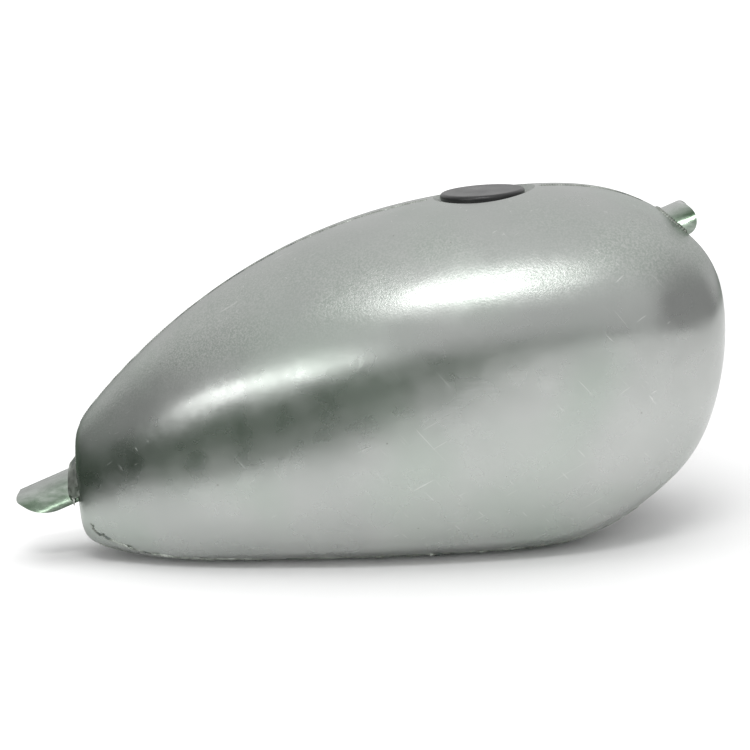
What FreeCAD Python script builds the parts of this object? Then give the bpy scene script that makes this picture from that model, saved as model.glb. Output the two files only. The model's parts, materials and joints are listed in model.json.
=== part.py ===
import FreeCAD, Part
import math
import os

from FreeCAD import Vector

# Custom motorcycle fuel tank in bare sheet steel. Millimetres.
# +X is the bike's forward direction, +Y its left side, +Z is up. While it is being drawn, x = 0 is
# the tail of the shell; `export` moves everything back so that x = 0 is the middle of the tank.

# ---- sizes that drive the whole tank
SHELL_LENGTH = 500.0
SHEET = 1.2                 # pressed shells, floor pans and filler seat
TUNNEL_SHEET = 1.5
BRACKET_PLATE = 3.0
BACKBONE_RADIUS = 22.2      # the frame tube the tank sits on
BACKBONE_SLOPE = 20.5       # degrees, rising to the front
CROWN_AT_TAIL = 72.5        # height of the bracket crown where it leaves the tail
REAR_TONGUE = 50.0          # how far the rear bracket stands out behind the shell
FRONT_TONGUE_TIP = 481.5    # x of the front bracket's tip
MIDDLE_OF_LENGTH = (SHELL_LENGTH - REAR_TONGUE) / 2

CAP_RADIUS = 32.0
CAP_CENTRE = Vector(324.0, 0, 266.5)   # centre of the cap's top face
CAP_LEAN = 1.0              # degrees, towards the rear
THREAD_PITCH = 4.0

# ---- control points of the four lines the body is drawn by, as (x, height or half width)
CREST = [(0, 95), (0, 104), (20, 127), (75, 178), (150, 226), (240, 258), (330, 268), (410, 268),
         (465, 243), (500, 206), (500, 172)]
KEEL = [(0, 22), (0, 15), (18, 11), (60, 0), (120, 0), (210, 0), (310, 0), (385, 0), (440, 35),
        (485, 70), (500, 135), (500, 152)]
HALF_WIDTH = [(0, 20), (0, 32), (20, 46), (75, 76), (150, 101), (240, 122), (330, 127), (410, 119),
              (465, 102), (500, 55), (500, 19)]
WIDEST_HEIGHT = [(0, 58), (90, 98), (240, 152), (400, 172), (500, 162)]

STATIONS = 30               # cross-sections along the body
CREST_STEPS = 12            # points from the crest down to the widest line
FLANK_STEPS = 14            # points from the widest line down to the floor
FLOOR_FLAT = 0.3            # share of the half width that is flat floor
CREST_FULLNESS = 2.15       # 2 would be an ellipse, more is squarer
FLANK_FULLNESS = 2.7
BEYOND = 80.0               # how far cutting shapes run on past what they cut


# ---- the body as a smooth solid

def line_through(control_points):
    curve = Part.BSplineCurve()
    curve.buildFromPoles([Vector(x, 0, z) for x, z in control_points], False, 3)
    return curve


def value_at(curve, x):
    """Height of one of the body lines at a station x."""
    low, high = curve.FirstParameter, curve.LastParameter
    for _ in range(40):
        middle = (low + high) / 2
        if curve.value(middle).x < x:
            low = middle
        else:
            high = middle
    return curve.value(low).z


BODY_LINES = [line_through(points) for points in (CREST, KEEL, HALF_WIDTH, WIDEST_HEIGHT)]


def quarter_round(across, up, fullness, steps):
    """A quarter of a squared-off ellipse, from its top round to its side."""
    points = []
    for step in range(steps + 1):
        angle = math.pi / 2 * step / steps
        side, rise = math.sin(angle), max(math.cos(angle), 0.0)
        reach = (side ** fullness + rise ** fullness) ** (-1 / fullness)
        points.append((across * side * reach, up * rise * reach))
    return points


def section(x):
    """Right half of the cross-section at x, from the crest round the flank to the flat floor."""
    crest, keel, half_width, widest = [value_at(line, x) for line in BODY_LINES]
    flat = FLOOR_FLAT * half_width
    shoulder = quarter_round(half_width, crest - widest, CREST_FULLNESS, CREST_STEPS)
    flank = quarter_round(half_width - flat, widest - keel, FLANK_FULLNESS, FLANK_STEPS)
    points = [Vector(x, -across, widest + up) for across, up in shoulder]
    points += [Vector(x, -flat - across, widest - drop) for across, drop in reversed(flank[:-1])]
    points += [Vector(x, -flat / 2, keel), Vector(x, 0, keel)]
    return points


def body_stations():
    """Stations crowd together at both ends, where the body rounds off."""
    return [SHELL_LENGTH / 2 * (1 - math.cos(math.pi * i / STATIONS)) for i in range(STATIONS + 1)]


def surface_through(rows):
    surface = Part.BSplineSurface()
    surface.interpolate(rows)
    return surface


def sheet_inside(surface, rows, thickness):
    """The same rows of points moved inwards by the sheet thickness."""
    inner = []
    for i, row in enumerate(rows):
        inner_row = []
        centre = Vector(SHELL_LENGTH / 2, 0, (row[0].z + row[-1].z) / 2)
        for j, point in enumerate(row):
            normal = surface.normal(*surface.parameter(point))
            if normal.dot(centre - point) < 0:
                normal = -normal
            moved = point + normal * thickness
            if j in (0, len(row) - 1):
                moved.y = 0
            if i == 0:
                moved = Vector(thickness, point.y, point.z)
            if i == len(rows) - 1:
                moved = Vector(SHELL_LENGTH - thickness, point.y, point.z)
            inner_row.append(moved)
        inner.append(inner_row)
    return inner


def half_body(surface, rows):
    """Solid between the right-hand skin, the centre plane and the two small end faces."""
    skin = surface.toShape()
    crest_ends = rows[0][0], rows[-1][0]
    keel_ends = rows[0][-1], rows[-1][-1]

    def edge_between(a, b):
        for edge in skin.Edges:
            ends = [vertex.Point for vertex in edge.Vertexes]
            if all(min(end.distanceToPoint(p) for end in ends) < 0.01 for p in (a, b)):
                return edge
        raise ValueError("the skin has no such edge")

    tail_line = Part.makeLine(crest_ends[0], keel_ends[0])
    nose_line = Part.makeLine(crest_ends[1], keel_ends[1])
    crest_edge = edge_between(*crest_ends)
    keel_edge = edge_between(*keel_ends)
    centre_face = Part.Face(Part.Wire(Part.sortEdges([crest_edge, nose_line, keel_edge, tail_line])[0]))
    tail_face = Part.Face(Part.Wire([edge_between(crest_ends[0], keel_ends[0]), tail_line]))
    nose_face = Part.Face(Part.Wire([edge_between(crest_ends[1], keel_ends[1]), nose_line]))
    shell = Part.makeShell([skin, centre_face, tail_face, nose_face])
    shell.sewShape()
    solid = Part.makeSolid(shell)
    if solid.Volume < 0:
        solid.reverse()
    return solid


def mirrored(shape):
    return shape.mirror(Vector(0, 0, 0), Vector(0, 1, 0))


def both_sides(half):
    return half.fuse(mirrored(half)).removeSplitter()


# ---- the sloping backbone tunnel and its brackets

SADDLE_RADIUS = BACKBONE_RADIUS + BRACKET_PLATE
TUNNEL_RADIUS = SADDLE_RADIUS + TUNNEL_SHEET
SLOPE = math.radians(BACKBONE_SLOPE)


def along_backbone(shape):
    """Puts a shape drawn along local X, with the tube's axis on local X, onto the backbone line."""
    placed = shape.copy()
    placed.rotate(Vector(0, 0, 0), Vector(0, 1, 0), -BACKBONE_SLOPE)
    placed.translate(Vector(SADDLE_RADIUS * math.sin(SLOPE), 0,
                            CROWN_AT_TAIL - SADDLE_RADIUS * math.cos(SLOPE)))
    return placed


def run_at(x):
    """Distance along the backbone line at which the bracket's crown passes station x."""
    return x / math.cos(SLOPE)


def channel(radius, start, end, leg):
    """Upside-down U, round at the top, with straight legs hanging down."""
    left, right = Vector(start, -radius, 0), Vector(start, radius, 0)
    foot = Vector(0, 0, -leg)
    outline = Part.Wire([
        Part.Arc(left, Vector(start, 0, radius), right).toShape(),
        Part.makeLine(right, right + foot),
        Part.makeLine(right + foot, left + foot),
        Part.makeLine(left + foot, left),
    ])
    return Part.Face(outline).extrude(Vector(end - start, 0, 0))


def whole_length_channel(radius):
    """A channel that runs on past both ends of the shell and down below its floor."""
    return along_backbone(channel(radius, -BEYOND, SHELL_LENGTH + 2 * BEYOND, 2 * SHELL_LENGTH))


def frame_tunnel(body):
    walls = whole_length_channel(TUNNEL_RADIUS).cut(whole_length_channel(SADDLE_RADIUS))
    return walls.common(body).removeSplitter()


def half_tube(start, end):
    outside = Part.makeCylinder(SADDLE_RADIUS, end - start, Vector(start, 0, 0), Vector(1, 0, 0))
    inside = Part.makeCylinder(BACKBONE_RADIUS, end - start, Vector(start, 0, 0), Vector(1, 0, 0))
    upper = Part.makeBox(end - start, 2 * SADDLE_RADIUS, SADDLE_RADIUS, Vector(start, -SADDLE_RADIUS, 0))
    return outside.cut(inside).common(upper)


def rounded_outline(corners, radii):
    """Closed outline in the XZ plane with each corner rounded by its own radius (0 keeps it sharp)."""
    count = len(corners)
    starts, ends, middles = [], [], []
    for i, corner in enumerate(corners):
        back = (corners[i - 1] - corner).normalize()
        onward = (corners[(i + 1) % count] - corner).normalize()
        half_angle = back.getAngle(onward) / 2
        setback = radii[i] / math.tan(half_angle)
        bisector = (back + onward).normalize()
        starts.append(corner + back * setback)
        ends.append(corner + onward * setback)
        middles.append(corner + bisector * (radii[i] / math.sin(half_angle) - radii[i]))
    edges = []
    for i in range(count):
        if radii[i] > 0:
            edges.append(Part.Arc(starts[i], middles[i], ends[i]).toShape())
        edges.append(Part.makeLine(ends[i], starts[(i + 1) % count]))
    return Part.Wire(edges)


def across_tank(outline):
    """Block with this side view, as wide as a bracket."""
    block = Part.Face(outline).extrude(Vector(0, 4 * SADDLE_RADIUS, 0))
    block.translate(Vector(0, -2 * SADDLE_RADIUS, 0))
    return block


BRACKET_OVERLAP = 26.0      # how far each bracket reaches into the tunnel
FRONT_EXIT = 448.0          # station where the tunnel crown breaks out of the nose
TONGUE_EDGE = 3.4           # the tongues stop this far short of a full half tube
REAR_TIP_ROUND = 3.5
REAR_CUT_BACK_ROUND = 34.0
FRONT_TIP_ROUND = 10.0
FRONT_CORNER_ROUND = 10.0


def rear_bracket():
    """Half-tube tongue whose tip is cut back at 45 degrees from the crown and rounded below."""
    lost_to_rounding = REAR_TIP_ROUND / math.sin(math.radians(45 / 2)) - REAR_TIP_ROUND
    tip = run_at(-REAR_TONGUE - lost_to_rounding)
    root = run_at(BRACKET_OVERLAP)
    cut_back = SADDLE_RADIUS - TONGUE_EDGE
    side_view = rounded_outline([
        Vector(tip, 0, SADDLE_RADIUS),
        Vector(root, 0, SADDLE_RADIUS),
        Vector(root, 0, TONGUE_EDGE),
        Vector(tip + cut_back, 0, TONGUE_EDGE),
    ], [REAR_TIP_ROUND, 0, 0, REAR_CUT_BACK_ROUND])
    return along_backbone(half_tube(tip, root).common(across_tank(side_view)))


def front_bracket():
    """Half-tube tongue cut square to the bike, with a rounded crown and lower corners."""
    root = run_at(FRONT_EXIT - BRACKET_OVERLAP)
    tip = run_at(FRONT_TONGUE_TIP)
    lean = (SADDLE_RADIUS - TONGUE_EDGE) * math.tan(SLOPE)
    side_view = rounded_outline([
        Vector(root, 0, SADDLE_RADIUS),
        Vector(tip, 0, SADDLE_RADIUS),
        Vector(tip - lean, 0, TONGUE_EDGE),
        Vector(root, 0, TONGUE_EDGE),
    ], [0, FRONT_TIP_ROUND, FRONT_CORNER_ROUND, 0])
    return along_backbone(half_tube(root, tip).common(across_tank(side_view)))


WELD_EDGE = 0.6             # thickness of the rear fillet where it runs out on the tongue
REAR_WELD = 8.0             # width of the rear fillet, measured back from the shell
REAR_WELD_LEG = 15.0        # its thickness at the shell, before it is trimmed
FRONT_WELD = 3.0
WELD_SWEEP = 150.0          # degrees of the half tube that are welded, about its crown


def bracket_weld(start, end, thickness, width, body):
    """Weld round the half tube: thickness at both ends, width over the skin, trimmed by the shell."""
    outline = Part.makePolygon([
        Vector(start, 0, SADDLE_RADIUS),
        Vector(end, 0, SADDLE_RADIUS),
        Vector(end, 0, SADDLE_RADIUS + thickness[1]),
        Vector(start, 0, SADDLE_RADIUS + thickness[0]),
        Vector(start, 0, SADDLE_RADIUS),
    ])
    ring = Part.Face(outline).revolve(Vector(0, 0, 0), Vector(1, 0, 0), WELD_SWEEP)
    ring.rotate(Vector(0, 0, 0), Vector(1, 0, 0), -WELD_SWEEP / 2)
    reach = body.copy()
    reach.translate(Vector(math.cos(SLOPE), 0, math.sin(SLOPE)) * width)
    return along_backbone(ring).common(reach).cut(body)


def rear_bracket_weld(body):
    root = run_at(BRACKET_OVERLAP / 2)
    return bracket_weld(run_at(-1.5 * REAR_WELD), root, (WELD_EDGE, REAR_WELD_LEG), -REAR_WELD, body)


def front_bracket_weld(body):
    root = run_at(FRONT_EXIT - BRACKET_OVERLAP / 2)
    return bracket_weld(root, run_at(SHELL_LENGTH), (FRONT_WELD, FRONT_WELD), FRONT_WELD, body)


# ---- filler: dished seat, threaded neck and screw cap, drawn down from the middle of the cap's top

CAP_THICKNESS = 5.2
CAP_TOP_ROUND = 2.6
CAP_FOOT_ROUND = 0.6
NECK_TOP = -6.2
NECK_FOOT = -21.0
NECK_RADIUS = 29.5
NECK_BORE = 25.2
NECK_CHAMFER = 0.8
SEAT_TOP = -9.5
SEAT_FLOOR_RADIUS = 33.0
SEAT_WALL = 55.0            # degrees above the seat floor
SEAT_WALL_REACH = 9.0
SEAT_ROUND = 3.0

PLUG_RADIUS = 23.6
PLUG_BORE = 21.0
PLUG_DECK = 3.0
PLUG_FOOT = -18.2
PLUG_THREAD_TURNS = 1.25
RIDGE_WIDE = 1.6
RIDGE_NARROW = 0.9
RIDGE_HEIGHT = 1.2
RIDGE_ROOT = 0.3            # how far each thread ridge is let into its wall

SEAL_INNER = 25.4
SEAL_OUTER = 29.0
SEAL_GROOVE_TOP = -3.8
SEAL_GROOVE_INNER = 25.0
SEAL_GROOVE_OUTER = 29.4

SCREW_COUNT = 3
SCREW_CIRCLE = 14.0
SCREW_RADIUS = 1.5
SCREW_HEAD_RADIUS = 2.8
SCREW_HEAD = 2.0
SCREW_HEAD_ROUND = 0.8
SCREW_TIP = -1.8
SCREW_SLOT = 0.8
SCREW_SLOT_DEPTH = 1.0
SCREW_CLEARANCE = 0.1

VENT_HOUSING_RADIUS = 8.0
VENT_HOUSING_BORE = 6.2
VENT_HOUSING_FOOT = -16.0
VENT_HOLE = 2.5
VENT_DISC_RADIUS = 5.8
VENT_DISC = 1.2
VENT_SPRING_RADIUS = 4.0
VENT_SPRING_WIRE = 0.4      # radius
VENT_SPRING_COILS = 4
VENT_RETAINER = 1.2
VENT_POCKET_RADIUS = 8.0
VENT_POCKET_TOP = -2.0
WEEP_RADIUS = 0.6
WEEP_HEIGHT = -2.8


def on_filler(shape):
    """Puts a shape drawn about the cap's own axis in its place on top of the tank."""
    placed = shape.copy()
    placed.rotate(Vector(0, 0, 0), Vector(0, 1, 0), -CAP_LEAN)
    placed.translate(CAP_CENTRE)
    return placed


def disc(radius, top, bottom):
    return Part.makeCylinder(radius, top - bottom, Vector(0, 0, bottom))


def ring(outer, inner, top, bottom):
    return disc(outer, top, bottom).cut(disc(inner, top, bottom))


def circles_at(shape, radius, height):
    """The circular edges of a shape that have this radius and lie at this height."""
    found = []
    for edge in shape.Edges:
        circle = edge.Curve
        if isinstance(circle, Part.Circle) and abs(circle.Radius - radius) < 0.01:
            if abs(circle.Center.z - height) < 0.01:
                found.append(edge)
    return found


def dish(floor_height, floor_radius, corner_round):
    """Everything above the floor and inside the sloping wall of the filler seat."""
    rise = SEAT_WALL_REACH * math.tan(math.radians(SEAT_WALL))
    cone = Part.makeCone(floor_radius, floor_radius + SEAT_WALL_REACH, rise, Vector(0, 0, floor_height))
    return cone.makeFillet(corner_round, circles_at(cone, floor_radius, floor_height))


def seat_recess():
    wall_setback = SHEET / math.sin(math.radians(SEAT_WALL)) - SHEET / math.tan(math.radians(SEAT_WALL))
    underside = dish(SEAT_TOP - SHEET, SEAT_FLOOR_RADIUS + wall_setback, SEAT_ROUND + SHEET)
    return on_filler(underside)


def filler_seat(body):
    hole = on_filler(disc(NECK_RADIUS, 0, NECK_FOOT))
    recess = on_filler(dish(SEAT_TOP, SEAT_FLOOR_RADIUS, SEAT_ROUND))
    return seat_recess().common(body).cut(recess).cut(hole)


def thread_ridge(wall_radius, outward, first, turns):
    """Helical ridge standing out of (outward = 1) or into (outward = -1) a round wall."""
    root = wall_radius - outward * RIDGE_ROOT
    crest = wall_radius + outward * RIDGE_HEIGHT
    profile = Part.makePolygon([
        Vector(root, 0, first - RIDGE_WIDE / 2),
        Vector(crest, 0, first - RIDGE_NARROW / 2),
        Vector(crest, 0, first + RIDGE_NARROW / 2),
        Vector(root, 0, first + RIDGE_WIDE / 2),
        Vector(root, 0, first - RIDGE_WIDE / 2),
    ])
    path = Part.makeHelix(THREAD_PITCH, THREAD_PITCH * turns, wall_radius)
    path.translate(Vector(0, 0, first))
    return Part.Wire(path).makePipeShell([profile], True, True)


def filler_neck():
    body = ring(NECK_RADIUS, NECK_BORE, NECK_TOP, NECK_FOOT)
    body = body.makeChamfer(NECK_CHAMFER, circles_at(body, NECK_RADIUS, NECK_TOP))
    turns = (NECK_TOP - NECK_FOOT - 2 * RIDGE_WIDE) / THREAD_PITCH
    ridge = thread_ridge(NECK_BORE, -1, NECK_FOOT + RIDGE_WIDE, turns)
    return on_filler(body.fuse(ridge))


def cap_cover():
    cover = disc(CAP_RADIUS, 0, -CAP_THICKNESS)
    cover = cover.makeFillet(CAP_TOP_ROUND, circles_at(cover, CAP_RADIUS, 0))
    cover = cover.makeFillet(CAP_FOOT_ROUND, circles_at(cover, CAP_RADIUS, -CAP_THICKNESS))
    groove = ring(SEAL_GROOVE_OUTER, SEAL_GROOVE_INNER, SEAL_GROOVE_TOP, -CAP_THICKNESS)
    pocket = disc(VENT_POCKET_RADIUS, VENT_POCKET_TOP, -CAP_THICKNESS)
    weep = Part.makeCylinder(WEEP_RADIUS, CAP_RADIUS, Vector(0, 0, WEEP_HEIGHT), Vector(-1, 0, 0))
    return on_filler(cover.cut([groove, pocket, weep] + screw_holes(SCREW_RADIUS, SCREW_TIP)))


def screw_places():
    for i in range(SCREW_COUNT):
        angle = 2 * math.pi * i / SCREW_COUNT
        yield Vector(SCREW_CIRCLE * math.cos(angle), SCREW_CIRCLE * math.sin(angle), 0)


def screw_holes(radius, top):
    holes = []
    for place in screw_places():
        hole = disc(radius, top, PLUG_FOOT)
        hole.translate(place)
        holes.append(hole)
    return holes


def cap_screws():
    deck_under = -CAP_THICKNESS - PLUG_DECK
    screws = []
    for place in screw_places():
        shank = disc(SCREW_RADIUS, SCREW_TIP, deck_under)
        head = disc(SCREW_HEAD_RADIUS, deck_under, deck_under - SCREW_HEAD)
        head = head.makeFillet(SCREW_HEAD_ROUND,
                               circles_at(head, SCREW_HEAD_RADIUS, deck_under - SCREW_HEAD))
        slot = Part.makeBox(2 * SCREW_HEAD_RADIUS, SCREW_SLOT, SCREW_SLOT_DEPTH,
                            Vector(-SCREW_HEAD_RADIUS, -SCREW_SLOT / 2, deck_under - SCREW_HEAD))
        screw = shank.fuse(head).removeSplitter().cut(slot)
        screw.translate(place)
        screws.append(screw)
    return on_filler(Part.makeCompound(screws))


def cap_plug():
    deck_under = -CAP_THICKNESS - PLUG_DECK
    wall = ring(PLUG_RADIUS, PLUG_BORE, -CAP_THICKNESS, PLUG_FOOT)
    deck = disc(PLUG_RADIUS, -CAP_THICKNESS, deck_under)
    housing = ring(VENT_HOUSING_RADIUS, VENT_HOUSING_BORE, deck_under, VENT_HOUSING_FOOT)
    plug = wall.fuse([deck, housing]).removeSplitter()
    plug = plug.cut([disc(VENT_HOLE, 0, PLUG_FOOT)] + screw_holes(SCREW_RADIUS + SCREW_CLEARANCE, 0))
    between_neck_ridges = NECK_FOOT + RIDGE_WIDE + THREAD_PITCH / 2
    turns_up = math.ceil((PLUG_FOOT + RIDGE_WIDE / 2 - between_neck_ridges) / THREAD_PITCH)
    first = between_neck_ridges + turns_up * THREAD_PITCH
    return on_filler(plug.fuse(thread_ridge(PLUG_RADIUS, 1, first, PLUG_THREAD_TURNS)))


def cap_seal():
    return on_filler(ring(SEAL_OUTER, SEAL_INNER, SEAL_GROOVE_TOP, NECK_TOP))


def vent_disc():
    top = -CAP_THICKNESS - PLUG_DECK
    return on_filler(disc(VENT_DISC_RADIUS, top, top - VENT_DISC))


def vent_retainer():
    return on_filler(ring(VENT_HOUSING_BORE, VENT_HOLE, VENT_HOUSING_FOOT + VENT_RETAINER,
                          VENT_HOUSING_FOOT))


def vent_spring():
    """Coil of tilted half circles, each rising by half a coil and running smoothly into the next."""
    top = -CAP_THICKNESS - PLUG_DECK - VENT_DISC - VENT_SPRING_WIRE
    bottom = VENT_HOUSING_FOOT + VENT_RETAINER + VENT_SPRING_WIRE
    rise = (top - bottom) / (2 * VENT_SPRING_COILS)
    half_coils = []
    for i in range(2 * VENT_SPRING_COILS):
        side = (-1) ** i
        start = Vector(side * VENT_SPRING_RADIUS, 0, bottom + i * rise)
        end = Vector(-side * VENT_SPRING_RADIUS, 0, bottom + (i + 1) * rise)
        middle = (start + end) / 2 + Vector(0, side * (end - start).Length / 2, 0)
        half_coils.append(Part.Arc(start, middle, end).toShape())
    first = Vector(VENT_SPRING_RADIUS, 0, bottom)
    wire = Part.Wire(Part.makeCircle(VENT_SPRING_WIRE, first, Vector(0, 1, 0)))
    return on_filler(Part.Wire(half_coils).makePipeShell([wire], True, True))


# ---- fuel outlets and floor pans

OUTLET_X = 150.0
OUTLET_SIDE = 42.0
OUTLET_RADIUS = 10.0
OUTLET_THREAD_RADIUS = 5.72
OUTLET_FOOT = 0.5
OUTLET_TOP = 16.0

PAN_FRONT = 425.0
PAN_HEIGHT = 36.0
PAN_MARGIN = 18.0
PAN_SHARE = 0.45            # of the half width, on top of the margin


def right_outlet():
    """The outlet boss, its bore, and the hole it needs right through the floor pan."""
    place = Vector(OUTLET_X, -OUTLET_SIDE, OUTLET_FOOT)
    length = OUTLET_TOP - OUTLET_FOOT
    boss = Part.makeCylinder(OUTLET_RADIUS, length, place)
    bore = Part.makeCylinder(OUTLET_THREAD_RADIUS, length, place)
    hole = Part.makeCylinder(OUTLET_RADIUS, length + BEYOND, place - Vector(0, 0, BEYOND))
    return boss, bore, hole


def seam_at(x):
    """The seam between the right floor pan and the side shell, seen from below."""
    return Vector(x, -PAN_MARGIN - PAN_SHARE * value_at(BODY_LINES[2], x), 0)


def pan_outline_block():
    """Upright block whose side wall is the seam between the right floor pan and the side shell."""
    seam = [seam_at(x) for x in body_stations() if x < PAN_FRONT]
    seam.append(seam_at(PAN_FRONT))
    curve = Part.BSplineCurve()
    curve.interpolate(seam)
    front_corner = Vector(PAN_FRONT, 0, 0)
    rear_corner = Vector(-BEYOND, 0, 0)
    rear_side = Vector(-BEYOND, seam[0].y, 0)
    outline = Part.Wire([
        Part.makeLine(rear_side, seam[0]),
        curve.toShape(),
        Part.makeLine(seam[-1], front_corner),
        Part.makeLine(front_corner, rear_corner),
        Part.makeLine(rear_corner, rear_side),
    ])
    block = Part.Face(outline).extrude(Vector(0, 0, PAN_HEIGHT + BEYOND))
    block.translate(Vector(0, 0, -BEYOND))
    return block


# ---- everything in its file

def export(name, shape):
    moved = shape.copy()
    moved.translate(Vector(-MIDDLE_OF_LENGTH, 0, 0))
    moved.exportStep("parts/" + name + ".step")


def main():
    os.makedirs("parts", exist_ok=True)
    rows = [section(x) for x in body_stations()]
    skin = surface_through(rows)
    inner_rows = sheet_inside(skin, rows, SHEET)
    right_body = half_body(skin, rows)
    right_inside = half_body(surface_through(inner_rows), inner_rows)
    body = both_sides(right_body)

    outlet, outlet_bore, outlet_hole = right_outlet()
    right_wall = right_body.cut(right_inside).cut([whole_length_channel(TUNNEL_RADIUS), seat_recess()])
    pan_block = pan_outline_block()
    right_pan = right_wall.common(pan_block).cut(outlet_hole)
    right_shell = right_wall.cut(pan_block)

    export("right_side_shell", right_shell)
    export("left_side_shell", mirrored(right_shell))
    export("right_floor_pan", right_pan)
    export("left_floor_pan", mirrored(right_pan))
    export("frame_tunnel", frame_tunnel(body))
    export("rear_bracket", rear_bracket())
    export("front_bracket", front_bracket())
    export("rear_bracket_weld", rear_bracket_weld(body))
    export("front_bracket_weld", front_bracket_weld(body))
    export("right_fuel_outlet", outlet.cut(outlet_bore))
    export("left_fuel_outlet", mirrored(outlet.cut(outlet_bore)))
    export("filler_seat", filler_seat(body))
    export("filler_neck", filler_neck())
    export("cap_cover", cap_cover())
    export("cap_plug", cap_plug())
    export("cap_screws", cap_screws())
    export("cap_seal", cap_seal())
    export("vent_disc", vent_disc())
    export("vent_spring", vent_spring())
    export("vent_retainer", vent_retainer())


main()
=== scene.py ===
import json
import math
import random

import bpy
from mathutils import Matrix, Vector
from mathutils.bvhtree import BVHTree


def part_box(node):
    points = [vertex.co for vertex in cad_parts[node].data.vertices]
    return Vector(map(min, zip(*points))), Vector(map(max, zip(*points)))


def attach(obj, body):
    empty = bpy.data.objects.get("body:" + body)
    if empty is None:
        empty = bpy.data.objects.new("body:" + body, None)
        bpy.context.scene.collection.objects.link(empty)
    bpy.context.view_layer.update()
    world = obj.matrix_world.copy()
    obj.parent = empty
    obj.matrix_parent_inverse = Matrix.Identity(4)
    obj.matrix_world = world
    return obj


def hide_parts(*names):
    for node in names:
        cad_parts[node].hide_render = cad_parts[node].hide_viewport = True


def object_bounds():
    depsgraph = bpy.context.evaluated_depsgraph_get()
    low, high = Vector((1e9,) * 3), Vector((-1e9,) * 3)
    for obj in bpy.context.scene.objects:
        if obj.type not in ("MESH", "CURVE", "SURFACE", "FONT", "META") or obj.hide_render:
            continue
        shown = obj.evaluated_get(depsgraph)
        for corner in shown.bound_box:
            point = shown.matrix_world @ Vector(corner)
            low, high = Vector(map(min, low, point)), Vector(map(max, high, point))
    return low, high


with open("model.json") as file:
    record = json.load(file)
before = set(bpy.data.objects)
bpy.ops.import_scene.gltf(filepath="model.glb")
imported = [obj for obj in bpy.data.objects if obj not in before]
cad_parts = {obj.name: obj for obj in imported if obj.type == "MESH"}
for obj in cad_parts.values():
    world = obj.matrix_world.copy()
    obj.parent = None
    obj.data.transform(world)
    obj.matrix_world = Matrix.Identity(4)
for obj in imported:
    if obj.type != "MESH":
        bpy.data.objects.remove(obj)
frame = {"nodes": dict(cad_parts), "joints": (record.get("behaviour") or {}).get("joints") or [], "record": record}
CAD_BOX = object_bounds()

MM = 0.001
LOW, HIGH = CAD_BOX
MIDDLE = (LOW + HIGH) / 2
LENGTH = HIGH.x - LOW.x
UP = Vector((0, 0, 1))

random.seed(7)


# ---- what the record says about the tube the tank sits on and the cap's axis

def mount_named(name):
    return next(m for m in frame["record"]["mounts"] if m["name"] == name)


def joint_named(name):
    return next(j for j in frame["joints"] if j["name"] == name)


SADDLE = mount_named("backbone_saddle")
BACKBONE_POINT = Vector(SADDLE["pos_m"])
BACKBONE = Vector(SADDLE["axis"]).normalized()
CAP_POINT = Vector(joint_named("cap_turn")["pos_m"])
CAP_AXIS = Vector(joint_named("cap_turn")["axis"]).normalized()
NECK_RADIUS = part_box("filler_neck")[1].y
TUNNEL_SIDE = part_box("frame_tunnel")[1].y
TONGUE_RADIUS = TUNNEL_SIDE - 0.7 * MM      # the joint between the tongues and the tunnel's edge


# ---- small helpers for materials

def new_material(name):
    material = bpy.data.materials.new(name)
    material.use_nodes = True
    return material, material.node_tree, material.node_tree.nodes["Principled BSDF"]


def node(tree, kind, **settings):
    made = tree.nodes.new(kind)
    for key, value in settings.items():
        if key in made.inputs:
            made.inputs[key].default_value = value
        else:
            setattr(made, key, value)
    return made


def place_on_object(tree, stretch=(1, 1, 1)):
    """The point's place in metres, scaled along each axis."""
    coordinates = node(tree, "ShaderNodeTexCoord")
    mapping = node(tree, "ShaderNodeMapping")
    mapping.inputs["Scale"].default_value = stretch
    tree.links.new(coordinates.outputs["Object"], mapping.inputs["Vector"])
    return mapping.outputs["Vector"]


def noise(tree, scale, detail=3.0, roughness=0.5, stretch=(1, 1, 1), distortion=0.0):
    made = node(tree, "ShaderNodeTexNoise", Scale=scale, Detail=detail, Roughness=roughness,
                Distortion=distortion)
    tree.links.new(place_on_object(tree, stretch), made.inputs["Vector"])
    return made.outputs["Fac"]


def ramp(tree, factor, stops):
    """Stops are (position, value), where a value is a grey or a colour."""
    made = node(tree, "ShaderNodeValToRGB")
    elements = made.color_ramp.elements
    while len(elements) < len(stops):
        elements.new(0.5)
    for element, (position, value) in zip(elements, stops):
        element.position = position
        colour = value if isinstance(value, tuple) else (value, value, value)
        element.color = (*colour, 1)
    tree.links.new(factor, made.inputs["Fac"])
    return made.outputs["Color"]


def math_node(tree, operation, a, b=None):
    made = node(tree, "ShaderNodeMath", operation=operation)
    for socket, value in zip(made.inputs, (a, b)):
        if isinstance(value, (int, float)):
            socket.default_value = value
        elif value is not None:
            tree.links.new(value, socket)
    return made.outputs[0]


def mixed(tree, amount, a, b, blend="MIX"):
    made = node(tree, "ShaderNodeMix", data_type="RGBA", blend_type=blend)
    for socket, value in zip((made.inputs[0], made.inputs[6], made.inputs[7]), (amount, a, b)):
        if isinstance(value, (int, float)):
            socket.default_value = value
        elif isinstance(value, tuple):
            socket.default_value = (*value, 1)
        else:
            tree.links.new(value, socket)
    return made.outputs[2]


def bumped(tree, bsdf, heights):
    """Chains bumps; heights are (height socket, strength, depth in metres)."""
    normal = None
    for height, strength, depth in heights:
        made = node(tree, "ShaderNodeBump", Strength=strength, Distance=depth)
        tree.links.new(height, made.inputs["Height"])
        if normal is not None:
            tree.links.new(normal, made.inputs["Normal"])
        normal = made.outputs["Normal"]
    tree.links.new(normal, bsdf.inputs["Normal"])


def facing_up(tree):
    """How far the surface faces upwards, from -1 to 1."""
    geometry = node(tree, "ShaderNodeNewGeometry")
    parts = node(tree, "ShaderNodeSeparateXYZ")
    tree.links.new(geometry.outputs["Normal"], parts.inputs["Vector"])
    return parts.outputs["Z"]


# ---- materials

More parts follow.
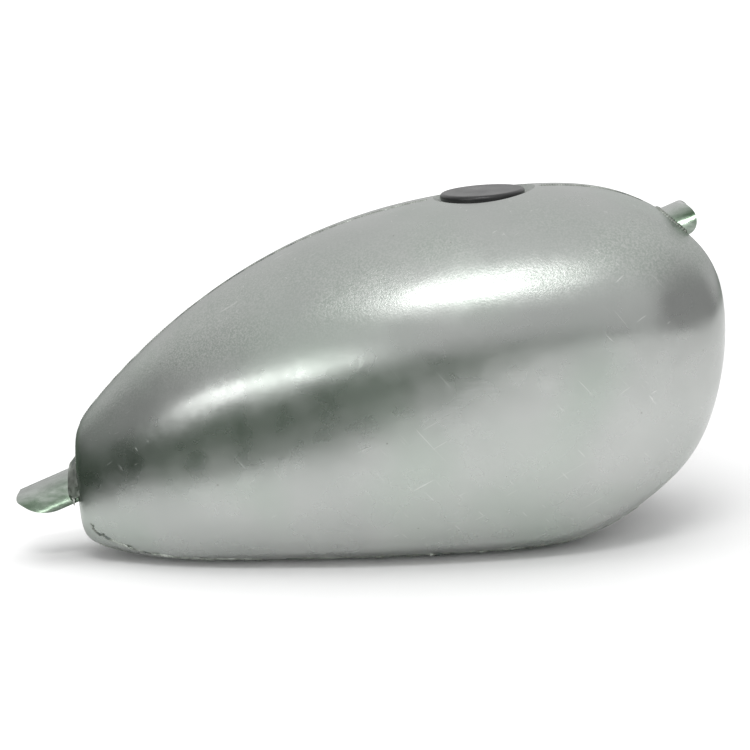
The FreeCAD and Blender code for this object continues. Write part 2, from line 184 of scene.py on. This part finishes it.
STEEL_LIGHT = (0.47, 0.483, 0.468)
STEEL_DARK = (0.40, 0.418, 0.402)
STEEL_GREEN = (0.34, 0.42, 0.35)


def scratches(tree, turn):
    """Short thin lines, white on black, all lying one way."""
    coordinates = node(tree, "ShaderNodeTexCoord")
    turned_way = node(tree, "ShaderNodeMapping", Rotation=(0, turn, 0))
    tree.links.new(coordinates.outputs["Object"], turned_way.inputs["Vector"])
    drawn_out = node(tree, "ShaderNodeMapping", Scale=(0.05, 0.4, 1.5))
    tree.links.new(turned_way.outputs["Vector"], drawn_out.inputs["Vector"])
    lines = node(tree, "ShaderNodeTexNoise", Scale=420, Detail=1)
    tree.links.new(drawn_out.outputs["Vector"], lines.inputs["Vector"])
    dashes = ramp(tree, lines.outputs["Fac"], [(0.735, 0.0), (0.76, 1.0)])
    where = ramp(tree, noise(tree, 9, 1), [(0.50, 0.0), (0.58, 1.0)])
    return math_node(tree, "MULTIPLY", dashes, where)


def pits(tree, scale):
    cells = node(tree, "ShaderNodeTexVoronoi", feature="F1", Scale=scale)
    tree.links.new(place_on_object(tree), cells.inputs["Vector"])
    dots = ramp(tree, cells.outputs["Distance"], [(0.03, 1.0), (0.06, 0.0)])
    where = ramp(tree, noise(tree, 14, 1), [(0.55, 0.0), (0.6, 1.0)])
    return math_node(tree, "MULTIPLY", dots, where)


def sanded_shell():
    """Bare pressed steel: satin, with a coarse sanded band round the shoulder and the crown."""
    material, tree, bsdf = new_material("shell_steel")
    bsdf.inputs["Metallic"].default_value = 1.0
    up = facing_up(tree)
    band = ramp(tree, up, [(0.30, 0.0), (0.56, 1.0), (0.80, 0.8), (0.97, 0.3)])
    patchy = ramp(tree, noise(tree, 16, 4), [(0.38, 0.35), (0.62, 1.0)])
    sanding = math_node(tree, "MULTIPLY", band, patchy)
    grain = noise(tree, 640, 3, 0.7)
    speckle = ramp(tree, grain, [(0.42, 0.0), (0.60, 1.0)])
    drawn_out = noise(tree, 260, 3, 0.6, stretch=(0.12, 1, 1))

    clouds = ramp(tree, noise(tree, 7, 4), [(0.35, STEEL_DARK), (0.65, STEEL_LIGHT)])
    low_green = ramp(tree, noise(tree, 11, 1), [(0.50, 0.0), (0.75, 0.35)])
    colour = mixed(tree, low_green, clouds, STEEL_GREEN)
    worn = mixed(tree, speckle, (0.27, 0.33, 0.28), (0.56, 0.58, 0.55))
    colour = mixed(tree, math_node(tree, "MULTIPLY", sanding, 0.45), colour, worn)
    scored = math_node(tree, "MAXIMUM", scratches(tree, 0.5), scratches(tree, -0.9))
    colour = mixed(tree, math_node(tree, "MULTIPLY", scored, 0.4), colour, (0.70, 0.71, 0.69))
    pitted = pits(tree, 70)
    colour = mixed(tree, math_node(tree, "MULTIPLY", pitted, 0.7), colour, (0.22, 0.22, 0.20))
    tree.links.new(colour, bsdf.inputs["Base Color"])

    base = ramp(tree, noise(tree, 38, 4), [(0.3, 0.24), (0.7, 0.33)])
    rough = math_node(tree, "ADD", base, math_node(tree, "MULTIPLY", sanding, 0.10))
    tree.links.new(rough, bsdf.inputs["Roughness"])
    sanded_height = math_node(tree, "MULTIPLY", grain, sanding)
    waves = noise(tree, 20, 2)
    bumped(tree, bsdf, [(waves, 0.12, 0.004), (drawn_out, 0.05, 0.0005),
                        (sanded_height, 0.55, 0.0005), (scored, 0.3, 0.0002), (pitted, -0.5, 0.0003)])
    return material


def bracket_steel():
    """Bent plate with smears of dark green scale; the flanks are painted darker as painted shade and the
    upward-facing crown painted lighter as a painted sheen.
    """
    material, tree, bsdf = new_material("bracket_steel")
    bsdf.inputs["Metallic"].default_value = 1.0
    smears = noise(tree, 70, 4, 0.6, stretch=(0.3, 1, 1))
    # Flank tones: smears of dark green scale, also darkened as painted shade. Crown tones: lighter, a painted
    # sheen from above.
    flank_scale_and_shade = ramp(tree, smears, [(0.32, (0.08, 0.12, 0.08)), (0.5, (0.20, 0.26, 0.20)),
                                (0.68, (0.46, 0.51, 0.46))])
    crown = ramp(tree, smears, [(0.3, (0.34, 0.36, 0.34)), (0.7, (0.50, 0.52, 0.50))])
    # Painted sheen and shade: the lighter crown tones go where the surface faces up, the darker flank tones
    # everywhere else.
    painted_crown_sheen_mask = ramp(tree, facing_up(tree), [(0.62, 0.0), (0.90, 1.0)])
    tree.links.new(mixed(tree, painted_crown_sheen_mask, flank_scale_and_shade, crown), bsdf.inputs["Base Color"])
    rough = ramp(tree, noise(tree, 120, 3), [(0.3, 0.14), (0.7, 0.30)])
    tree.links.new(rough, bsdf.inputs["Roughness"])
    bumped(tree, bsdf, [(noise(tree, 90, 3), 0.3, 0.0008), (smears, 0.15, 0.0006)])
    return material


def weld_metal():
    """Weld metal: dark scale with paler patches of clean metal, finely rough."""
    material, tree, bsdf = new_material("weld_metal")
    bsdf.inputs["Metallic"].default_value = 1.0
    heat = ramp(tree, noise(tree, 90, 3), [(0.30, (0.10, 0.12, 0.12)), (0.45, (0.25, 0.27, 0.24)),
                                           (0.60, (0.42, 0.45, 0.41)), (0.75, (0.62, 0.65, 0.61))])
    tree.links.new(heat, bsdf.inputs["Base Color"])
    rough = ramp(tree, noise(tree, 300, 3), [(0.3, 0.22), (0.7, 0.48)])
    tree.links.new(rough, bsdf.inputs["Roughness"])
    bumped(tree, bsdf, [(noise(tree, 500, 3, 0.6), 0.4, 0.0003)])
    return material


def mill_steel():
    """Unfinished inside sheet: dull, with rolling streaks and a little brown bloom."""
    material, tree, bsdf = new_material("tunnel_steel")
    bsdf.inputs["Metallic"].default_value = 1.0
    streaks = noise(tree, 120, 4, 0.6, stretch=(0.06, 1, 1))
    colour = ramp(tree, streaks, [(0.3, (0.33, 0.34, 0.33)), (0.7, (0.52, 0.53, 0.51))])
    bloom = ramp(tree, noise(tree, 24, 5, 0.65), [(0.56, 0.0), (0.74, 0.5)])
    tree.links.new(mixed(tree, bloom, colour, (0.30, 0.22, 0.16)), bsdf.inputs["Base Color"])
    tree.links.new(ramp(tree, streaks, [(0.3, 0.36), (0.7, 0.50)]), bsdf.inputs["Roughness"])
    bumped(tree, bsdf, [(streaks, 0.2, 0.0004)])
    return material


RING_SCALE = 150.0


def turned(name, tones, roughness):
    """Turned metal: fine rings round the cap's axis."""
    material, tree, bsdf = new_material(name)
    bsdf.inputs["Metallic"].default_value = 1.0
    coordinates = node(tree, "ShaderNodeTexCoord")
    mapping = node(tree, "ShaderNodeMapping", vector_type="TEXTURE")
    mapping.inputs["Location"].default_value = CAP_POINT
    tree.links.new(coordinates.outputs["Object"], mapping.inputs["Vector"])
    rings = node(tree, "ShaderNodeTexWave", wave_type="RINGS", rings_direction="Z",
                 Scale=RING_SCALE, Distortion=0.6, Detail=2.0)
    tree.links.new(mapping.outputs["Vector"], rings.inputs["Vector"])
    tone = mixed(tree, 0.5, noise(tree, 60, 3), rings.outputs["Color"])
    colour = ramp(tree, tone, [(0.3, tones[0]), (0.7, tones[1])])
    tree.links.new(colour, bsdf.inputs["Base Color"])
    rough = ramp(tree, tone, [(0.3, roughness[0]), (0.7, roughness[1])])
    tree.links.new(rough, bsdf.inputs["Roughness"])
    bumped(tree, bsdf, [(rings.outputs["Color"], 0.1, 0.0001)])
    return material


def moulded_black(name, shade, roughness, grain_depth, scale=900):
    """Black moulded part: fine grain and a paler handling haze."""
    material, tree, bsdf = new_material(name)
    haze = noise(tree, 50, 4, 0.6)
    colour = ramp(tree, haze, [(0.35, (shade, shade, shade * 1.05)),
                               (0.75, (shade * 2, shade * 2, shade * 2.1))])
    tree.links.new(colour, bsdf.inputs["Base Color"])
    rough = ramp(tree, haze, [(0.3, roughness[0]), (0.7, roughness[1])])
    tree.links.new(rough, bsdf.inputs["Roughness"])
    bumped(tree, bsdf, [(noise(tree, scale, 2, 0.6), 0.3, grain_depth)])
    return material


def put_on(material, *names):
    for name in names:
        for slot in frame["nodes"][name].material_slots:
            slot.material = material


SHELL = sanded_shell()
WELD = weld_metal()
put_on(SHELL, "right_side_shell", "left_side_shell", "right_floor_pan", "left_floor_pan",
       "filler_seat")
put_on(bracket_steel(), "rear_bracket", "front_bracket")
put_on(mill_steel(), "frame_tunnel")
put_on(turned("neck_steel", ((0.62, 0.63, 0.62), (0.82, 0.83, 0.82)), (0.16, 0.26)),
       "filler_neck", "right_fuel_outlet", "left_fuel_outlet")
put_on(moulded_black("cap_black", 0.012, (0.26, 0.38), 0.00004), "cap_cover")
put_on(moulded_black("plug_black", 0.020, (0.42, 0.55), 0.0001), "cap_plug")
put_on(moulded_black("seal_rubber", 0.016, (0.60, 0.75), 0.0001, 500), "cap_seal", "vent_disc")
put_on(turned("zinc", ((0.50, 0.52, 0.54), (0.70, 0.71, 0.72)), (0.22, 0.34)),
       "cap_screws", "vent_spring")
put_on(turned("brass", ((0.60, 0.44, 0.18), (0.80, 0.62, 0.32)), (0.20, 0.32)),
       "vent_retainer")


# ---- weld beads, laid over the CAD's surfaces

def surface_of(*names):
    """One tree of the named nodes' faces, for finding points on them."""
    vertices, faces = [], []
    for name in names:
        mesh = frame["nodes"][name].data
        first = len(vertices)
        vertices += [v.co.copy() for v in mesh.vertices]
        faces += [[first + i for i in polygon.vertices] for polygon in mesh.polygons]
    return BVHTree.FromPolygons(vertices, faces)


def evened(points, step):
    """The same line with its points one step apart."""
    out = [points[0][0]]
    normals = [points[0][1]]
    carried = 0.0
    for (a, na), (b, nb) in zip(points, points[1:]):
        length = (b - a).length
        at = step - carried
        while at <= length and length > 0:
            out.append(a.lerp(b, at / length))
            normals.append(na.lerp(nb, at / length).normalized())
            at += step
        carried = (carried + length) % step
    return list(zip(out, normals))


BEAD_ACROSS = 8             # faces across a bead
BEAD_STEPS = 5              # cross-sections in one ripple

# width of the bead, its height, and the length of one ripple
REAR_TONGUE_BEAD = (4.2 * MM, 2.2 * MM, 2.6 * MM)
FRONT_TONGUE_BEAD = (4.5 * MM, 1.8 * MM, 2.6 * MM)
FLOOR_BEAD = (4.0 * MM, 1.3 * MM, 2.2 * MM)
TUNNEL_BEAD = (3.4 * MM, 1.2 * MM, 2.2 * MM)
OUTLET_BEAD = (2.6 * MM, 1.0 * MM, 1.6 * MM)
NECK_BEAD = (3.2 * MM, 1.3 * MM, 2.0 * MM)
CREST_BEAD = (3.2 * MM, 0.8 * MM, 2.0 * MM)


def weld_bead(name, line, size, closed=False, sunk=0.25):
    """A rippled bead along a line of (point, outward normal), as overlapping scales."""
    width, height, ripple = size
    step = ripple / BEAD_STEPS
    line = evened(line, step)
    count = len(line)
    vertices, faces = [], []
    wander = 0.0
    for i, (point, normal) in enumerate(line):
        ahead = line[(i + 1) % count if closed else min(i + 1, count - 1)][0]
        behind = line[(i - 1) % count if closed else max(i - 1, 0)][0]
        along = (ahead - behind).normalized()
        across = along.cross(normal).normalized()
        scale = (i * step / ripple) % 1.0
        crest = 0.62 + 0.38 * math.sin(math.pi * min(scale * 1.35, 1.0))
        wander = 0.9 * wander + random.uniform(-0.05, 0.05)
        taper = 1.0 if closed else min(1.0, (min(i, count - 1 - i) + 0.4) * step / width)
        for k in range(BEAD_ACROSS + 1):
            angle = math.pi * k / BEAD_ACROSS
            side = math.cos(angle) * width / 2 * (0.93 + 0.07 * crest + wander) * taper
            rise = (math.sin(angle) * crest * (1 + wander) * taper - sunk) * height
            vertices.append(point + across * side + normal * rise)
    ring = BEAD_ACROSS + 1
    for i in range(count if closed else count - 1):
        here, there = i * ring, (i + 1) % count * ring
        for k in range(BEAD_ACROSS):
            faces.append((here + k, here + k + 1, there + k + 1, there + k))
        faces.append((here + BEAD_ACROSS, here, there, there + BEAD_ACROSS))
    if not closed:
        faces.append(tuple(range(BEAD_ACROSS, -1, -1)))
        faces.append(tuple(range((count - 1) * ring, count * ring)))
    mesh = bpy.data.meshes.new(name)
    mesh.from_pydata(vertices, [], faces)
    mesh.shade_smooth()
    mesh.materials.append(WELD)
    piece = bpy.data.objects.new(name, mesh)
    bpy.context.scene.collection.objects.link(piece)
    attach(piece, "tank")
    return piece


SHEETS = ("right_side_shell", "left_side_shell", "right_floor_pan", "left_floor_pan")
SKIN = surface_of(*SHEETS)
SKIN_AND_TUNNEL = surface_of("frame_tunnel", *SHEETS)
LINE_STEPS = 60
BESIDE = 1.0 * MM           # how far a bead's middle lies from the edge it welds
FAR_OFF = 0.1               # where rays towards the tank start from


def round_the_tongue(direction, reach, sweep, radius):
    """Where lines along the half tube meet the shell, from one side over the crown to the other."""
    crown = BACKBONE.cross(Vector((0, 1, 0)))
    line = []
    for i in range(LINE_STEPS + 1):
        angle = math.radians(sweep) * (i / LINE_STEPS - 0.5)
        out = crown * math.cos(angle) + Vector((0, 1, 0)) * math.sin(angle)
        start = BACKBONE_POINT + out * radius + BACKBONE * reach
        place = SKIN_AND_TUNNEL.ray_cast(start, BACKBONE * direction)[0]
        if place is not None:
            line.append((place, (out - BACKBONE * direction).normalized()))
    return line


def floor_line(x_from, x_to, side_at):
    """A line under the floor at the given half widths, found by looking up from below."""
    line = []
    for i in range(LINE_STEPS + 1):
        x = x_from + (x_to - x_from) * i / LINE_STEPS
        place, normal, _, _ = SKIN.ray_cast(Vector((x, side_at(x), LOW.z - FAR_OFF)), UP)
        if place is not None:
            line.append((place, normal if normal.z < 0 else -normal))
    return line


def pan_edge(pan, side):
    """The half width of a floor pan at a station, found by halving."""
    tree = surface_of(pan)

    def edge_at(x):
        inner, outer = TUNNEL_SIDE, HIGH.y
        for _ in range(24):
            y = (inner + outer) / 2
            hit = tree.ray_cast(Vector((x, side * y, LOW.z - FAR_OFF)), UP)[0]
            inner, outer = (y, outer) if hit is not None else (inner, y)
        return side * inner
    return edge_at


def ring_line(centre, axis, radius, look_from, look_along, tree):
    """A closed circle laid on a surface."""
    sideways = axis.cross(Vector((1, 0, 0))).normalized()
    forward = sideways.cross(axis).normalized()
    line = []
    for i in range(LINE_STEPS + 1):
        angle = 2 * math.pi * i / LINE_STEPS
        out = forward * math.cos(angle) + sideways * math.sin(angle)
        start = centre + out * radius + axis * look_from
        place = tree.ray_cast(start, look_along)[0]
        if place is not None:
            line.append((place, (axis + out * 0.8).normalized()))
    return line


def crest_line(x_from, x_to):
    line = []
    for i in range(LINE_STEPS + 1):
        x = x_from + (x_to - x_from) * i / LINE_STEPS
        place, normal, _, _ = SKIN.ray_cast(Vector((x, -0.2 * MM, HIGH.z + FAR_OFF)), -UP)
        if place is not None:
            outward = Vector((normal.x, 0, abs(normal.z))).normalized()
            line.append((Vector((place.x, 0, place.z)), outward))
    return line


REAR_SWEEP = 172            # degrees of the half tube that the bead goes round
FRONT_SWEEP = 165
REAR_START = -0.1 * LENGTH  # along the backbone, clear of the shell at each end
FRONT_START = 1.4 * LENGTH
REAR_BEAD_BACK = 4.5 * MM   # the rear bead lies on the fillet, this far behind the shell
PAN_END = 6 * MM            # the seams start this far in from the tail end of the pan
TUNNEL_SEAM_START = 10 * MM
TUNNEL_SEAM_BEYOND = 30 * MM
CREST_START = 52.5 * MM     # from the rear bracket's tip to the top of the shell's tail
CREST_END = 24 * MM         # from the front bracket's root to its bead
CREST_SUNK = 0.15


def make_bracket_welds():
    rear = round_the_tongue(1, REAR_START, REAR_SWEEP, TONGUE_RADIUS)
    behind = [(point - BACKBONE * REAR_BEAD_BACK, normal) for point, normal in rear]
    weld_bead("rear_tongue_bead", behind, REAR_TONGUE_BEAD)
    front = round_the_tongue(-1, FRONT_START, FRONT_SWEEP, TONGUE_RADIUS)
    front_bead = weld_bead("front_tongue_bead", front, FRONT_TONGUE_BEAD)
    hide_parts("front_bracket_weld")


def pan_seam(pan, side):
    """The outer edge of a floor pan and then its front edge, back to the tunnel."""
    low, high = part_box(pan)
    edge_at = pan_edge(pan, side)
    front = high.x - BESIDE
    seam = floor_line(low.x + PAN_END, front, edge_at)
    corner = edge_at(front)
    for i in range(1, LINE_STEPS + 1):
        y = corner + (side * TUNNEL_SIDE - corner) * i / LINE_STEPS
        place, normal, _, _ = SKIN.ray_cast(Vector((front, y, LOW.z - FAR_OFF)), UP)
        seam.append((place, normal if normal.z < 0 else -normal))
    return seam


def make_floor_seams():
    for side, word in ((-1, "right"), (1, "left")):
        pan = word + "_floor_pan"
        low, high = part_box(pan)
        weld_bead(word + "_floor_seam", pan_seam(pan, side), FLOOR_BEAD)
        inner = floor_line(low.x + TUNNEL_SEAM_START, high.x + TUNNEL_SEAM_BEYOND,
                           lambda x: side * (TUNNEL_SIDE + BESIDE))
        weld_bead(word + "_tunnel_seam", inner, TUNNEL_BEAD)
        centre = Vector(mount_named(word + "_outlet_thread")["pos_m"])
        boss_low, boss_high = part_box(word + "_fuel_outlet")
        radius = (boss_high.x - boss_low.x) / 2 + BESIDE
        weld_bead(word + "_outlet_bead", ring_line(centre, -UP, radius, FAR_OFF, UP, SKIN),
                  OUTLET_BEAD, closed=True)


def make_filler_weld():
    seat = surface_of("filler_seat")
    line = ring_line(CAP_POINT, CAP_AXIS, NECK_RADIUS + BESIDE, FAR_OFF / 2, -CAP_AXIS, seat)
    weld_bead("filler_neck_bead", line, NECK_BEAD, closed=True)


def make_crest_seams():
    seat_low, seat_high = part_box("filler_seat")
    rear = crest_line(LOW.x + CREST_START, seat_low.x - BESIDE)
    weld_bead("rear_crest_seam", rear, CREST_BEAD, sunk=CREST_SUNK)
    front = crest_line(seat_high.x + BESIDE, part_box("front_bracket")[0].x + CREST_END)
    weld_bead("front_crest_seam", front, CREST_BEAD, sunk=CREST_SUNK)


make_bracket_welds()
make_floor_seams()
make_filler_weld()
make_crest_seams()
put_on(WELD, "rear_bracket_weld")


# ---- camera

CAMERA_PLACE = MIDDLE + Vector((0.025, -1.450, 0.336))
CAMERA_AIM = MIDDLE + Vector((0.0093, 0.0, -0.0051))
CAMERA_LENS = 92.66
CAMERA_LEAN = 3.76          # degrees: the photographer's camera leant over


def make_camera():
    data = bpy.data.cameras.new("camera")
    data.lens = CAMERA_LENS
    camera = bpy.data.objects.new("camera", data)
    bpy.context.scene.collection.objects.link(camera)
    forward = (CAMERA_AIM - CAMERA_PLACE).normalized()
    level = forward.to_track_quat("-Z", "Y").to_matrix().to_4x4()
    lean = Matrix.Rotation(math.radians(CAMERA_LEAN), 4, forward)
    camera.matrix_world = Matrix.Translation(CAMERA_PLACE) @ lean @ level
    bpy.context.scene.camera = camera


# ---- studio

# the pale table top, its corner by the tail cut off; past its edges the room is dark
TABLE = [(-0.36, -0.15), (-0.15, -0.35), (0.50, -1.30), (1.30, -1.30), (1.30, 1.00), (-0.36, 1.00)]


def make_floor():
    mesh = bpy.data.meshes.new("floor")
    mesh.from_pydata([(x, y, LOW.z) for x, y in TABLE], [], [tuple(range(len(TABLE)))])
    floor = bpy.data.objects.new("floor", mesh)
    bpy.context.scene.collection.objects.link(floor)
    material, tree, bsdf = new_material("floor_paper")
    tree.links.new(ramp(tree, noise(tree, 3, 2), [(0.3, 0.90), (0.7, 0.93)]),
                   bsdf.inputs["Base Color"])
    bsdf.inputs["Roughness"].default_value = 0.9
    bsdf.inputs["Specular IOR Level"].default_value = 0.1
    mesh.materials.append(material)


def area_light(name, place, size, power, mirrored=True):
    """A softbox aimed at the tank; one that isn't mirrored lights without showing in the metal."""
    data = bpy.data.lights.new(name, "AREA")
    data.energy = power
    data.shape = "RECTANGLE"
    data.size, data.size_y = size
    light = bpy.data.objects.new(name, data)
    light.location = place
    light.rotation_mode = "QUATERNION"
    light.rotation_quaternion = (MIDDLE - Vector(place)).to_track_quat("-Z", "Y")
    light.visible_glossy = mirrored
    bpy.context.scene.collection.objects.link(light)


HORIZON_TILT = 0.12         # the dark below the horizon reaches higher at the tail's end of the room


def make_world():
    """A pale room, dark past the table and dimmer at both ends, white where the camera sees it."""
    world = bpy.data.worlds.new("studio")
    world.use_nodes = True
    tree = world.node_tree
    background = tree.nodes["Background"]
    coordinates = node(tree, "ShaderNodeTexCoord")
    parts = node(tree, "ShaderNodeSeparateXYZ")
    tree.links.new(coordinates.outputs["Generated"], parts.inputs["Vector"])
    tilted = math_node(tree, "ADD", parts.outputs["Z"],
                       math_node(tree, "MULTIPLY", parts.outputs["X"], HORIZON_TILT))
    height = math_node(tree, "MULTIPLY_ADD", tilted, 0.5)
    height.node.inputs[2].default_value = 0.5
    ends = math_node(tree, "ABSOLUTE", parts.outputs["X"])
    room = ramp(tree, height, [(0.40, (0.08, 0.11, 0.08)), (0.46, (0.12, 0.16, 0.12)),
                               (0.51, 0.40), (0.55, 0.60), (0.68, 0.64), (0.80, 0.70),
                               (1.0, 0.76)])
    dim_ends = ramp(tree, ends, [(0.72, 1.0), (0.88, 0.45), (1.0, 0.55)])
    lit = mixed(tree, 1.0, room, dim_ends, "MULTIPLY")
    rays = node(tree, "ShaderNodeLightPath")
    seen = mixed(tree, rays.outputs["Is Camera Ray"], lit, (1.0, 1.0, 1.0))
    tree.links.new(seen, background.inputs["Color"])
    background.inputs["Strength"].default_value = 1.3
    bpy.context.scene.world = world


make_camera()
make_floor()
make_world()
area_light("front_softbox", (-0.04, -1.00, 1.44), (0.80, 0.22), 7)
area_light("low_left_softbox", (-1.10, -1.15, 0.47), (1.0, 0.16), 2.6)
area_light("overhead", (0.0, 0.1, 2.2), (2.4, 1.8), 17, mirrored=False)
bpy.context.scene.view_settings.view_transform = "Standard"
